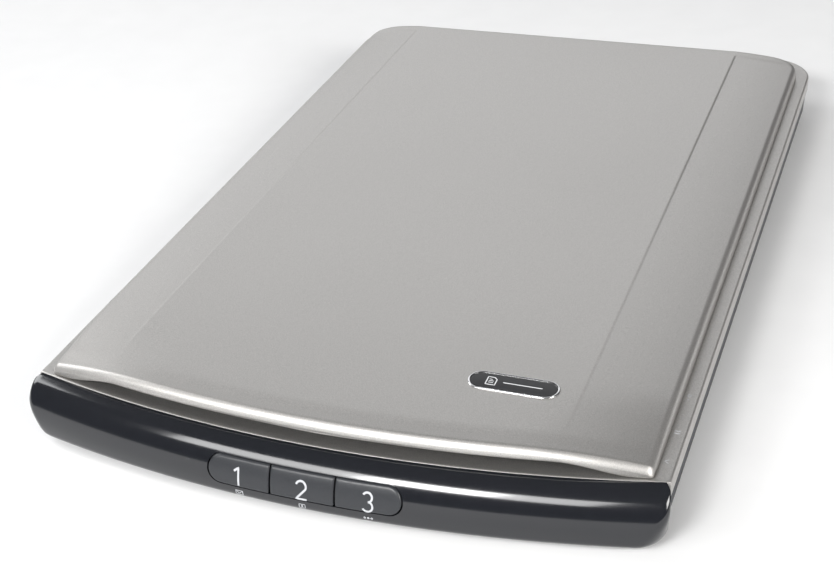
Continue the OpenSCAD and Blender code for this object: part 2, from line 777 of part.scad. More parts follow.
module transport_lock() {
  color(c_key) difference() {
    union() {
      box(lock_x - 7, lock_x + 7, lock_y - 4.5, lock_y + 4.5, ground_gap + 0.1, 2.8);
      box(lock_x - 2, lock_x + 2, lock_y - 2, lock_y + 2, 2.5, 7.2);
      box(lock_x - 3.5, lock_x + 3.5, lock_y - 3.2, lock_y + 3.2, 4.5, 5.2);
    }
    for (i = [-2:2]) box(lock_x + 2 * i - 0.4, lock_x + 2 * i + 0.4, lock_y - 4, lock_y + 4,
                         ground_gap - 1, ground_gap + 0.4);
  }
}

// Lid and hinge -----------------------------------------------------------------------

module hinge_post(side) {
  color(c_case) difference() {
    union() {
      box(side * post_x - post_w / 2, side * post_x + post_w / 2,
          post_y - post_d / 2, post_y + post_d / 2, floor_z + 0.8, body_h);
      box(side * post_x - post_w / 2, side * post_x + post_w / 2,
          axis_y - 2.3, axis_y + 1.9, body_h - 1, hinge_z);
      rod_along_x(side * post_x - post_w / 2, side * post_x + post_w / 2, axis_y, hinge_z, barrel_r);
    }
    rod_along_x(side * post_x - post_w, side * post_x + post_w, axis_y, hinge_z, pin_r + 0.05);
  }
}
module hinge_post_left() { hinge_post(-1); }
module hinge_post_right() { hinge_post(1); }

module lid_form(t) {
  hull() {
    slab(lid_outline(t, t, t), lid_low_z - t, 32 - t / 2);
    slab(lid_outline(0.8 + t, 0.6 + t, 0.8 + t), 33.8 - t / 2, 33.9 - t / 2);
    slab(lid_outline(3.4 + t, 1.6 + t, 3 + t), 35.4 - 0.8 * t, 35.5 - 0.8 * t);
    slab(lid_outline(14 + t, 3 + t, 6 + t), 37 - t, 37.1 - t);
    slab(lid_outline(17.9, 5 + t, 9 + t), 37.5 - t, 37.6 - t);
    box(-98, 98, lid_front + 10, lid_back - 11, lid_top_z - 0.1 - t, lid_top_z - t);
  }
}
// The arched grip: a smooth step down towards each front corner
arch_flat = 95;
arch_end = 129;
arch_steps = 12;
function arch_side(side) = [
  for (i = [0:arch_steps]) let (f = i / arch_steps)
    [side * (arch_flat + (arch_end - arch_flat) * f),
     lid_low_z - 0.2 + (grip_rise + 0.2) * (1 + cos(180 * f)) / 2]
];
module arch_cut() {
  left = arch_side(-1);
  back_to_front = [for (i = [arch_steps:-1:0]) left[i]];
  outline = concat(back_to_front, arch_side(1), [[arch_end, lid_low_z - 3], [-arch_end, lid_low_z - 3]]);
  translate([0, lid_front + 20, 0]) rotate([90, 0, 0]) linear_extrude(40) polygon(outline);
}
module lid_shell() {
  color(c_silver) difference() {
    lid_form(0);
    lid_form(lid_skin);
    arch_cut();
    box(-lid_half - 1, lid_half + 1, lid_back - 8, lid_back + 1, lid_low_z - 1, 28.8);
    for (side = [-1, 1]) {
      box(side * post_x - 8.4, side * post_x + 8.4, axis_y - 3, lid_back + 1, 27, hinge_z + 1.5);
      rod_along_x(side * post_x - 11.3, side * post_x + 11.3, axis_y, hinge_z, barrel_r + 0.4);
    }
    oval(badge_x, badge_y, badge_l + 0.1, badge_h + 0.1, badge_seat_z, lid_top_z + 1);
  }
}
inner_front = 19;
inner_back = 8;
module lid_inner() {
  color(c_case) difference() {
    union() {
      slab(lid_outline(2.7, inner_front, inner_back), 28, 31);
      slab(lid_outline(16, inner_front, inner_back), 28, 35);
    }
    slab(lid_outline(4.3, inner_front + 1.6, inner_back + 1.6), 30, 36);
    slab(lid_outline(12, inner_front + 6, inner_back - 1), 31, 36);
    box(-lid_half, lid_half, lid_front + 40, lid_back, 31, 36);
    for (side = [-1, 1])
      box(side * post_x - 11.1, side * post_x + 11.1, 187.8, lid_back, 30, 36);
    for (side = [-1, 1]) for (dx = [-6, 6]) rod(side * post_x + dx, 193, 27, 31, 1.1);
  }
}
module foam_pad() {
  color([0.85, 0.85, 0.83])
    box(2 - window_w / 2, window_w / 2 - 2, window_y0 + 2, window_y1 - 2, glass_z1 + 0.75, 28);
}
module white_sheet() {
  color(c_white) box(1.6 - window_w / 2, window_w / 2 - 1.6, window_y0 + 1.6, window_y1 - 1.6,
                     glass_z1 + 0.5, glass_z1 + 0.75);
}
module badge_rim() {
  color([0.8, 0.8, 0.8]) difference() {
    oval(badge_x, badge_y, badge_l, badge_h, badge_seat_z, lid_top_z + 0.5);
    oval(badge_x, badge_y, badge_l - 3, badge_h - 3, badge_seat_z - 1, lid_top_z + 1);
  }
}
module badge_plate() {
  color(c_black)
    oval(badge_x, badge_y, badge_l - 3.1, badge_h - 3.1, badge_seat_z, lid_top_z + 0.25);
}
module hinge_leaves() {
  color(c_case) for (side = [-1, 1]) difference() {
    union() {
      box(side * post_x - 10.9, side * post_x + 10.9, 188, axis_y - 5, 30, 31.4);
      for (x = [side * post_x - 8.4 - leaf_t, side * post_x + 8.4]) {
        rod_along_x(x, x + leaf_t, axis_y, hinge_z, barrel_r);
        box(x, x + leaf_t, 192, axis_y, 30, hinge_z + 1.6);
      }
    }
    rod_along_x(side * post_x - 12, side * post_x + 12, axis_y, hinge_z, pin_r);
    for (dx = [-6, 6]) rod(side * post_x + dx, 193, 29, 32, 1.3);
  }
}
module hinge_pins() {
  color(c_steel) for (side = [-1, 1])
    rod_along_x(side * post_x - 10.9, side * post_x + 10.9, axis_y, hinge_z, pin_r);
}
module lid_screws() {
  color(c_steel) for (side = [-1, 1]) for (dx = [-6, 6])
    screw_down([side * post_x + dx, 193], 31.4, 2.2, 1.2, 1.05, 3.2);
}

lower_case();
top_cover();
front_bezel();
button_guide();
button_board();
tact_switches();
platen_glass();
glass_tape();
calibration_strip();
feet();
guide_rod();
rod_clips();
main_board();
board_chips();
board_connectors();
usb_socket();
drive_motor();
motor_bracket();
small_screws();
case_screws();
gear_stud();
idler_slider();
idler_pin();
tension_spring();
drive_belt();
motor_cable();
button_cable();
ribbon_cable();
ribbon_loop();
home_sensor();
rating_plate();
transport_lock();
carriage();
rod_bushes();
belt_clamp();
cis_springs();
cis_housing();
rod_lens();
light_guide();
cis_board();
glass_sliders();
motor_shaft();
motor_pinion();
reduction_gear();
idler_pulley();
button_1();
button_2();
button_3();
hinge_post_left();
hinge_post_right();
lid_shell();
lid_inner();
foam_pad();
white_sheet();
badge_rim();
badge_plate();
hinge_leaves();
hinge_pins();
lid_screws();
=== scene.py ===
import json
import math

import bmesh
import bpy
from mathutils import Matrix, Vector


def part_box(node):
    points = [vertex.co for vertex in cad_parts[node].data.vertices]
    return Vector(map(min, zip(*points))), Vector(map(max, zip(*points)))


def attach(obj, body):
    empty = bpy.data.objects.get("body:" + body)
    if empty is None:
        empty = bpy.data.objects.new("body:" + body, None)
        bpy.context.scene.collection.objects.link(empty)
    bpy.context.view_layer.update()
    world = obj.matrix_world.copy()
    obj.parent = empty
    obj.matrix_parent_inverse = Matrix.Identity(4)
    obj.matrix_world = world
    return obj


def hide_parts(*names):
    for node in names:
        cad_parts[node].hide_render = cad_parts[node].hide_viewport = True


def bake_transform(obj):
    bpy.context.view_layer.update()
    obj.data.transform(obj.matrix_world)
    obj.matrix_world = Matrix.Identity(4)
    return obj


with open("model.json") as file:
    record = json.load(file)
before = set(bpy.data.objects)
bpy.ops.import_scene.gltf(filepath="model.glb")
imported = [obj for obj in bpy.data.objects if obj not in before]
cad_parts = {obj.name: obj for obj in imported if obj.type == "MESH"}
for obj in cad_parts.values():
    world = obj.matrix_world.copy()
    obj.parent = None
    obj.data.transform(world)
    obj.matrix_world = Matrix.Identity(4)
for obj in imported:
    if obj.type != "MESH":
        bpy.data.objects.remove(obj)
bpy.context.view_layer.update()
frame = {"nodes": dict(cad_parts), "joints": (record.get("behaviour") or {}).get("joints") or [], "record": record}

MM = 0.001  # shapes below are worked out in millimetres and stored in metres

# ---------------------------------------------------------------- camera, lights and floor

CAM_AT = Vector((0.2208, -0.6317, 0.3894))
CAM_TARGET = Vector((-0.0007, -0.0874, 0.0300))
CAM_ROLL = math.radians(-3.95)
CAM_LENS = 64.06
PALE = (0.86, 0.86, 0.86)


def make_camera():
    ahead = (CAM_TARGET - CAM_AT).normalized()
    right = ahead.cross(Vector((0, 0, 1))).normalized()
    up = right.cross(ahead)
    c, s = math.cos(CAM_ROLL), math.sin(CAM_ROLL)
    tilted_right = right * c + up * s
    tilted_up = up * c - right * s
    data = bpy.data.cameras.new("camera")
    data.lens = CAM_LENS
    data.sensor_width = 36
    data.clip_start = 0.01
    cam = bpy.data.objects.new("camera", data)
    turn = Matrix((tilted_right, tilted_up, -ahead)).transposed().to_4x4()
    cam.matrix_world = Matrix.Translation(CAM_AT) @ turn
    bpy.context.scene.collection.objects.link(cam)
    bpy.context.scene.camera = cam


def area_light(name, at, aim, size, size_y, power, tint=(1, 1, 1), along=(1, 0, 0)):
    """A soft box at a point, facing aim, with its long side turned along a direction."""
    data = bpy.data.lights.new(name, "AREA")
    data.shape = "RECTANGLE"
    data.size, data.size_y = size, size_y
    data.energy = power
    data.color = tint
    lamp = bpy.data.objects.new(name, data)
    back = (Vector(at) - Vector(aim)).normalized()
    side = Vector(along)
    side = (side - back * side.dot(back)).normalized()
    turn = Matrix((side, back.cross(side), back)).transposed().to_4x4()
    lamp.matrix_world = Matrix.Translation(at) @ turn
    lamp.visible_camera = False
    bpy.context.scene.collection.objects.link(lamp)


def make_world():
    world = bpy.data.worlds.new("studio")
    bpy.context.scene.world = world
    world.use_nodes = True
    tree = world.node_tree
    tree.nodes.clear()
    coord = tree.nodes.new("ShaderNodeTexCoord")
    split = tree.nodes.new("ShaderNodeSeparateXYZ")
    ramp = tree.nodes.new("ShaderNodeValToRGB")
    room = tree.nodes.new("ShaderNodeBackground")
    seen = tree.nodes.new("ShaderNodeBackground")
    path = tree.nodes.new("ShaderNodeLightPath")
    mix = tree.nodes.new("ShaderNodeMixShader")
    out = tree.nodes.new("ShaderNodeOutputWorld")
    tree.links.new(coord.outputs["Generated"], split.inputs[0])
    tree.links.new(split.outputs["Z"], ramp.inputs[0])
    tree.links.new(ramp.outputs[0], room.inputs["Color"])
    stops = ramp.color_ramp.elements
    stops[0].position, stops[0].color = 0.0, (0.34, 0.34, 0.35, 1)
    stops[1].position, stops[1].color = 0.06, (0.085, 0.085, 0.09, 1)
    top = stops.new(1.0)
    top.color = (0.15, 0.15, 0.152, 1)
    seen.inputs["Color"].default_value = (*PALE, 1)
    tree.links.new(path.outputs["Is Camera Ray"], mix.inputs[0])
    tree.links.new(room.outputs[0], mix.inputs[1])
    tree.links.new(seen.outputs[0], mix.inputs[2])
    tree.links.new(mix.outputs[0], out.inputs[0])


make_camera()
make_world()
FRONT_AIM = (0.03, -0.2, 0.02)
STRIP_RUN = (1.1, -0.12, -0.14)
area_light("back_soft", (-0.75, 1.75, 1.02), (0, 0.1, 0), 2.3, 1.05, 10, (0.97, 0.98, 1.0))
area_light("left_soft", (-1.9, 0.2, 1.3), (0, 0, 0), 1.2, 1.0, 22, (0.98, 0.99, 1.0), (0, 1, 0))
area_light("right_soft", (1.9, -0.9, 1.1), (0, -0.1, 0), 1.0, 0.9, 38, (1.0, 0.99, 0.97), (0, 1, 0))
area_light("front_wide", (-0.28, -1.17, 0.84), FRONT_AIM, 1.22, 0.34, 12, (1, 1, 1), STRIP_RUN)
area_light("front_core", (-0.16, -1.18, 0.81), FRONT_AIM, 0.34, 0.24, 8, (1, 1, 1), STRIP_RUN)
view_settings = bpy.context.scene.view_settings
view_settings.view_transform = "Standard"
view_settings.look = "None"

# ---------------------------------------------------------------- materials


def new_material(name):
    mat = bpy.data.materials.new(name)
    mat.use_nodes = True
    mat.node_tree.nodes.clear()
    out = mat.node_tree.nodes.new("ShaderNodeOutputMaterial")
    shader = mat.node_tree.nodes.new("ShaderNodeBsdfPrincipled")
    mat.node_tree.links.new(shader.outputs[0], out.inputs[0])
    return mat, mat.node_tree, shader


def noise_node(tree, coord, scale, detail=3.0, stretch=(1, 1, 1)):
    mapping = tree.nodes.new("ShaderNodeMapping")
    mapping.inputs["Scale"].default_value = stretch
    tree.links.new(coord.outputs["Object"], mapping.inputs[0])
    tex = tree.nodes.new("ShaderNodeTexNoise")
    tex.inputs["Scale"].default_value = scale
    tex.inputs["Detail"].default_value = detail
    tree.links.new(mapping.outputs[0], tex.inputs["Vector"])
    return tex


def ramp_node(tree, source, low, high, start=0.3, end=0.7):
    ramp = tree.nodes.new("ShaderNodeValToRGB")
    first, last = ramp.color_ramp.elements
    first.position, first.color = start, (*low, 1)
    last.position, last.color = end, (*high, 1)
    tree.links.new(source.outputs[0], ramp.inputs[0])
    return ramp


def finish_material(name, color, rough, metal=0.0, coat=0.0, grain=600, spread=0.08,
                    rough_spread=0.04, bump=0.0, bump_depth=0.05, stretch=(1, 1, 1),
                    sheet=3.0, alpha=1.0, transmission=0.0, specular=0.5):
    """A moulded, painted or metal finish: fine grain over a slow, faint drift of tone."""
    mat, tree, shader = new_material(name)
    coord = tree.nodes.new("ShaderNodeTexCoord")
    fine = noise_node(tree, coord, grain, 3, stretch)
    slow = noise_node(tree, coord, sheet, 2)
    dark = [c * (1 - spread) for c in color]
    light = [min(1.0, c * (1 + spread)) for c in color]
    fine_ramp = ramp_node(tree, fine, dark, light)
    slow_ramp = ramp_node(tree, slow, (0.96, 0.96, 0.96), (1, 1, 1))
    mix = tree.nodes.new("ShaderNodeMixRGB")
    mix.blend_type = "MULTIPLY"
    mix.inputs[0].default_value = 1
    tree.links.new(fine_ramp.outputs[0], mix.inputs[1])
    tree.links.new(slow_ramp.outputs[0], mix.inputs[2])
    tree.links.new(mix.outputs[0], shader.inputs["Base Color"])
    span = tree.nodes.new("ShaderNodeMapRange")
    span.inputs["To Min"].default_value = max(0.02, rough - rough_spread)
    span.inputs["To Max"].default_value = min(1.0, rough + rough_spread)
    tree.links.new(fine.outputs[0], span.inputs[0])
    tree.links.new(span.outputs[0], shader.inputs["Roughness"])
    shader.inputs["Metallic"].default_value = metal
    shader.inputs["Specular IOR Level"].default_value = specular
    shader.inputs["Coat Weight"].default_value = coat
    shader.inputs["Coat Roughness"].default_value = 0.08
    shader.inputs["Transmission Weight"].default_value = transmission
    shader.inputs["Alpha"].default_value = alpha
    if bump:
        node = tree.nodes.new("ShaderNodeBump")
        node.inputs["Strength"].default_value = bump
        node.inputs["Distance"].default_value = bump_depth * MM
        tree.links.new(fine.outputs[0], node.inputs["Height"])
        tree.links.new(node.outputs[0], shader.inputs["Normal"])
    return mat


FINISHES = {
    "silver_paint": dict(color=(0.505, 0.492, 0.474), rough=0.45, metal=0.88, coat=0.08,
                         grain=2600, spread=0.16, bump=0.12, sheet=5),
    "case_plastic": dict(color=(0.062, 0.064, 0.070), rough=0.52, grain=1500, bump=0.35, spread=0.12),
    "bezel_gloss": dict(color=(0.010, 0.011, 0.014), rough=0.13, coat=0.35, grain=300,
                        spread=0.05, rough_spread=0.02),
    "key_plastic": dict(color=(0.024, 0.026, 0.030), rough=0.38, grain=1800, spread=0.10, bump=0.15),
    "black_plastic": dict(color=(0.020, 0.020, 0.022), rough=0.48, grain=1200, bump=0.3, spread=0.15),
    "natural_resin": dict(color=(0.72, 0.69, 0.60), rough=0.42, grain=900, bump=0.1, spread=0.04),
    "white_sheet": dict(color=(0.80, 0.80, 0.78), rough=0.62, grain=1400, bump=0.1, spread=0.02),
    "foam": dict(color=(0.52, 0.52, 0.50), rough=0.92, grain=1300, bump=0.9, bump_depth=0.2, spread=0.18),
    "glass": dict(color=(0.30, 0.38, 0.36), rough=0.04, rough_spread=0.01, alpha=0.07, grain=20,
                  spread=0.02, specular=0.6),
    "tape": dict(color=(0.016, 0.016, 0.017), rough=0.55, grain=900, bump=0.2),
    "foot_rubber": dict(color=(0.022, 0.022, 0.023), rough=0.78, grain=1100, bump=0.5, spread=0.2),
    "belt_rubber": dict(color=(0.020, 0.020, 0.021), rough=0.60, grain=1100, bump=0.3, spread=0.2),
    "steel": dict(color=(0.56, 0.56, 0.57), rough=0.28, metal=1.0, grain=700, spread=0.08,
                  stretch=(1, 0.06, 1), bump=0.1),
    "screw_steel": dict(color=(0.10, 0.10, 0.11), rough=0.34, metal=0.9, grain=900, spread=0.15),
    "brass": dict(color=(0.62, 0.46, 0.20), rough=0.26, metal=1.0, grain=900, spread=0.08),
    "circuit_board": dict(color=(0.012, 0.105, 0.045), rough=0.35, coat=0.2, grain=260, spread=0.45),
    "flat_cable": dict(color=(0.66, 0.67, 0.68), rough=0.24, grain=500, spread=0.10,
                       stretch=(3, 0.05, 1), coat=0.2),
    "wire": dict(color=(0.34, 0.030, 0.022), rough=0.36, grain=500, spread=0.1),
    "label_film": dict(color=(0.50, 0.50, 0.50), rough=0.35, metal=0.3, grain=800, spread=0.05),
    "lens_glass": dict(color=(0.16, 0.17, 0.16), rough=0.16, coat=0.4, grain=900, spread=0.35,
                       stretch=(1, 0.2, 1)),
    "clear_plastic": dict(color=(0.80, 0.85, 0.88), rough=0.12, grain=200, spread=0.03, alpha=0.55),
    "badge_silver": dict(color=(0.72, 0.72, 0.72), rough=0.15, metal=1.0, grain=1500, spread=0.04),
    "badge_black": dict(color=(0.005, 0.005, 0.006), rough=0.34, coat=0.0, grain=500, spread=0.1),
}
MATERIALS = {slot: finish_material(slot, **spec) for slot, spec in FINISHES.items()}
MATERIALS["print"] = finish_material("pale_print", (0.50, 0.51, 0.53), 0.45, grain=2200, spread=0.05)

for row in frame["record"]["subparts"]:
    cad_mesh = frame["nodes"][row["node"]].data
    cad_mesh.materials.clear()
    cad_mesh.materials.append(MATERIALS[row["material_slot"]])

# ---------------------------------------------------------------- mesh helpers


def smooth_step(x):
    x = min(1.0, max(0.0, x))
    return x * x * (3 - 2 * x)


def front_drop(ahead):
    """The lid's front lip: a roll that meets the top in a soft crease."""
    if ahead >= LIP_DEEP:
        return 0.0
    turned = math.acos(1 - max(0.0, ahead) / LIP_R)
    return LIP_R * (math.sin(LIP_TURN) - math.sin(turned))


def round_over(d, r):
    """How far a rounded edge of radius r has dropped at the distance d from the edge."""
    d = max(0.0, d)
    return 0.0 if d >= r else r - math.sqrt(max(0.0, r * r - (r - d) ** 2))


class Shape:
    """Vertices in millimetres and faces, collected piece by piece."""

    def __init__(self):
        self.verts, self.faces = [], []

    def add(self, points):
        first = len(self.verts)
        self.verts.extend(tuple(p) for p in points)
        return list(range(first, first + len(points)))

    def bridge(self, a, b, closed=True):
        n = len(a)
        for i in range(n if closed else n - 1):
            j = (i + 1) % n
            self.faces.append((a[i], a[j], b[j], b[i]))

    def loops(self, rings, closed=True):
        ids = [self.add(r) for r in rings]
        for a, b in zip(ids, ids[1:]):
            self.bridge(a, b, closed)
        return ids

    def fan(self, ring, centre):
        c = self.add([centre])[0]
        n = len(ring)
        for i in range(n):
            self.faces.append((ring[i], ring[(i + 1) % n], c))

    def grid(self, rows):
        ids = [self.add(r) for r in rows]
        for a, b in zip(ids, ids[1:]):
            self.bridge(a, b, closed=False)
        return ids

    def make(self, name, slot, sharp=32, material=None):
        mesh = bpy.data.meshes.new(name)
        mesh.from_pydata([tuple(c * MM for c in v) for v in self.verts], [], self.faces)
        bm = bmesh.new()
        bm.from_mesh(mesh)
        bmesh.ops.remove_doubles(bm, verts=bm.verts, dist=1e-7)
        bmesh.ops.recalc_face_normals(bm, faces=bm.faces)
        bm.to_mesh(mesh)
        bm.free()
        mesh.materials.append(material or MATERIALS[slot])
        obj = bpy.data.objects.new(name, mesh)
        bpy.context.scene.collection.objects.link(obj)
        shade(mesh, sharp)
        return obj


def shade(mesh, sharp):
    mesh.shade_smooth()
    mesh.set_sharp_from_angle(angle=math.radians(sharp))


def settle(obj, body, slot, *nodes):
    """Puts a finished piece on its body, in place of the CAD nodes."""
    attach(obj, body)
    if nodes:
        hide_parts(*nodes)
    return obj


def cut(obj, cutters, sharp=32):
    """Subtracts each cutter from obj and removes it."""
    for cutter in cutters:
        mod = obj.modifiers.new("cut", "BOOLEAN")
        mod.operation = "DIFFERENCE"
        mod.solver = "EXACT"
        mod.object = cutter
    bpy.context.view_layer.update()
    graph = bpy.context.evaluated_depsgraph_get()
    result = bpy.data.meshes.new_from_object(obj.evaluated_get(graph))
    obj.modifiers.clear()
    old = obj.data
    obj.data = result
    result.name = obj.name
    bpy.data.meshes.remove(old)
    for cutter in cutters:
        data = cutter.data
        bpy.data.objects.remove(cutter)
        bpy.data.meshes.remove(data)
    shade(result, sharp)


def block(x0, x1, y0, y1, z0, z1):
    shape = Shape()
    low = shape.add([(x0, y0, z0), (x1, y0, z0), (x1, y1, z0), (x0, y1, z0)])
    high = shape.add([(x0, y0, z1), (x1, y0, z1), (x1, y1, z1), (x0, y1, z1)])
    shape.bridge(low, high)
    shape.faces += [tuple(low[::-1]), tuple(high)]
    return shape.make("cutter", "steel")


def stadium(cx, cy, length, width, inset=0.0, n=20):
    """Points round a flat oval, each with its outward direction taken into account."""
    r, reach = width / 2 - inset, (length - width) / 2
    ring = []
    for side in (1, -1):
        for i in range(n + 1):
            a = -math.pi / 2 + math.pi * i / n
            ring.append((cx + side * (reach + r * math.cos(a)), cy + side * r * math.sin(a)))
    return ring


def ribbon(shape, points, wide, place, thick=0.05, closed=False):
    """A thin raised line through flat points; place turns (a, b, lift) into a point in space."""
    pts = [Vector((*p, 0)) for p in points]
    n = len(pts)
    left, right = [], []
    for i, p in enumerate(pts):
        a = pts[i - 1] if (i or closed) else p
        b = pts[(i + 1) % n] if (i < n - 1 or closed) else p
        d = (b - a).normalized()
        side = Vector((-d.y, d.x, 0)) * wide / 2
        left.append(p + side)
        right.append(p - side)
    rows = [[place(q.x, q.y, lift) for q in line] for line, lift in
            ((left, -0.02), (left, thick), (right, thick), (right, -0.02))]
    ids = [shape.add(r) for r in rows]
    for a, b in zip(ids, ids[1:] + ids[:1]):
        shape.bridge(a, b, closed)
    if not closed:
        for k in (0, -1):
            shape.faces.append(tuple(r[k] for r in ids))


def walk(points, step=0.6, closed=False):
    out = []
    pairs = list(zip(points, points[1:] + points[:1] if closed else points[1:]))
    for a, b in pairs:
        k = max(1, int(math.dist(a, b) / step))
        out += [(a[0] + (b[0] - a[0]) * i / k, a[1] + (b[1] - a[1]) * i / k) for i in range(k)]
    return out if closed else out + [points[-1]]


def circle(cx, cy, r, n=20):
    turns = [2 * math.pi * i / n for i in range(n)]
    return [(cx + r * math.cos(a), cy + r * math.sin(a)) for a in turns]


# ---------------------------------------------------------------- shared sizes, from the frame


def box_mm(node):
    lo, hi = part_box(node)
    return [c / MM for c in lo], [c / MM for c in hi]


COVER_HI = box_mm("top_cover")[1]
BEZEL_LO = box_mm("front_bezel")[0]
LID_LO, LID_HI = box_mm("lid_shell")
HALF = COVER_HI[0]
BACK = COVER_HI[1]
TOP = COVER_HI[2]
SPLIT = box_mm("lower_case")[1][2]
BOW_SAG = 16.8
BEZEL_FWD = 13.2
BEZEL_MID = 8.5
BEZEL_LOW = BEZEL_LO[2]
JOINT = BEZEL_LO[1] + BEZEL_FWD
BOW_R = (HALF ** 2 + BOW_SAG ** 2) / (2 * BOW_SAG)
BOW_CY = JOINT + BOW_R
BODY_CORNER = 26.0


def bow_y(x, out=0.0):
    """Front line of the body at x, moved forward by out."""
    return BOW_CY - math.sqrt((BOW_R + out) ** 2 - x * x)


# ---------------------------------------------------------------- lid

LID_HALF = LID_HI[0] + 0.4
LID_BACK = LID_HI[1]
LID_TOP = 38.0
LID_LOW = LID_LO[2]
LID_FRONT = JOINT + 1.6
LID_SAG = 14.5
LID_BOW_R = (LID_HALF ** 2 + LID_SAG ** 2) / (2 * LID_SAG)
LID_BOW_CY = LID_FRONT + LID_BOW_R
LID_CORNER = 18.0
LID_FRONT_CORNER = 2.4
LID_SKIN = 2.0
CREASE_LEFT, CREASE_RIGHT = -103.5, 97.0
CREASE_STEP = 0.45
CREASE_WIDE = 1.5
CREASE_NEAR = 3.5  # to each side of a crease, where the lid's points stand closer
BACK_ROLL, SIDE_ROLL = 8.0, 3.0
LIP_R, LIP_TURN = 5.0, math.radians(67)
LIP_DEEP = LIP_R * (1 - math.cos(LIP_TURN))
ARCH_FLAT, ARCH_END, ARCH_RISE = 95.0, 129.0, 5.5


def lid_front_at(x, inset=0.0):
    return LID_BOW_CY - math.sqrt((LID_BOW_R - inset) ** 2 - x * x)


def lid_plan(u, t, inset):
    """A point of the lid's plan: u runs across from -1 to 1, t from front to back."""
    half, back = LID_HALF - inset, LID_BACK - inset
    front = lid_front_at(half * u, inset)
    y = front + t * (back - front)
    r = LID_CORNER - inset
    w = half
    if y > back - r:
        w = half - r + math.sqrt(max(0.0, r * r - (y - back + r) ** 2))
    r = LID_FRONT_CORNER - inset
    if y - front < r:
        w = half - r + math.sqrt(max(0.0, r * r - (r - (y - front)) ** 2))
    return u * w, y


def lid_height(x, y):
    """Height of the lid's outer skin: a flat middle, sloping wings, rolled edges."""
    wing = CREASE_LEFT - x if x < 0 else x - CREASE_RIGHT
    z = LID_TOP
    if wing > 0:
        first, second = (0.055, 0.0021) if x < 0 else (0.045, 0.0014)
        z -= first * wing + second * wing ** 2
    fade = smooth_step((196.5 - y) / 4) * (0.30 + 0.70 * smooth_step((y + 190) / 330))
    z -= CREASE_STEP * fade * smooth_step((wing + CREASE_WIDE / 2) / CREASE_WIDE)
    ahead = y - lid_front_at(x)
    reach = max(0.0, (abs(x) - 75) / (LID_HALF - 75))
    drooped = LID_TOP - 6.4 * reach ** 2.2
    z -= max(0.0, z - drooped) * (1 - smooth_step(ahead / 48))
    z -= 0.5 * (1 - smooth_step(ahead / 14))
    ax = abs(x)
    cx, cy = LID_HALF - LID_CORNER, LID_BACK - LID_CORNER
    if ax > cx and y > cy:
        turn = math.atan2(y - cy, ax - cx) / (math.pi / 2)
        edge = LID_CORNER - math.hypot(ax - cx, y - cy)
        roll = SIDE_ROLL + (BACK_ROLL - SIDE_ROLL) * smooth_step(turn)
        z -= round_over(edge, roll)
    else:
        z -= round_over(LID_HALF - ax, SIDE_ROLL) + round_over(LID_BACK - y, BACK_ROLL)
    return z - front_drop(ahead)


def lid_lower_edge(x, y):
    if y > LID_BACK - 8:
        return LID_LOW + 1.3
    if y - lid_front_at(x) > 6:
        return LID_LOW
    f = min(1.0, max(0.0, (abs(x) - ARCH_FLAT) / (ARCH_END - ARCH_FLAT)))
    return LID_LOW + ARCH_RISE * (1 + math.cos(math.pi * f)) / 2


def spaced(*runs):
    """Joins runs of (start, end, count) into one rising list."""
    out = []
    for start, end, count in runs:
        out += [start + (end - start) * i / count for i in range(count)]
    return out + [runs[-1][1]]


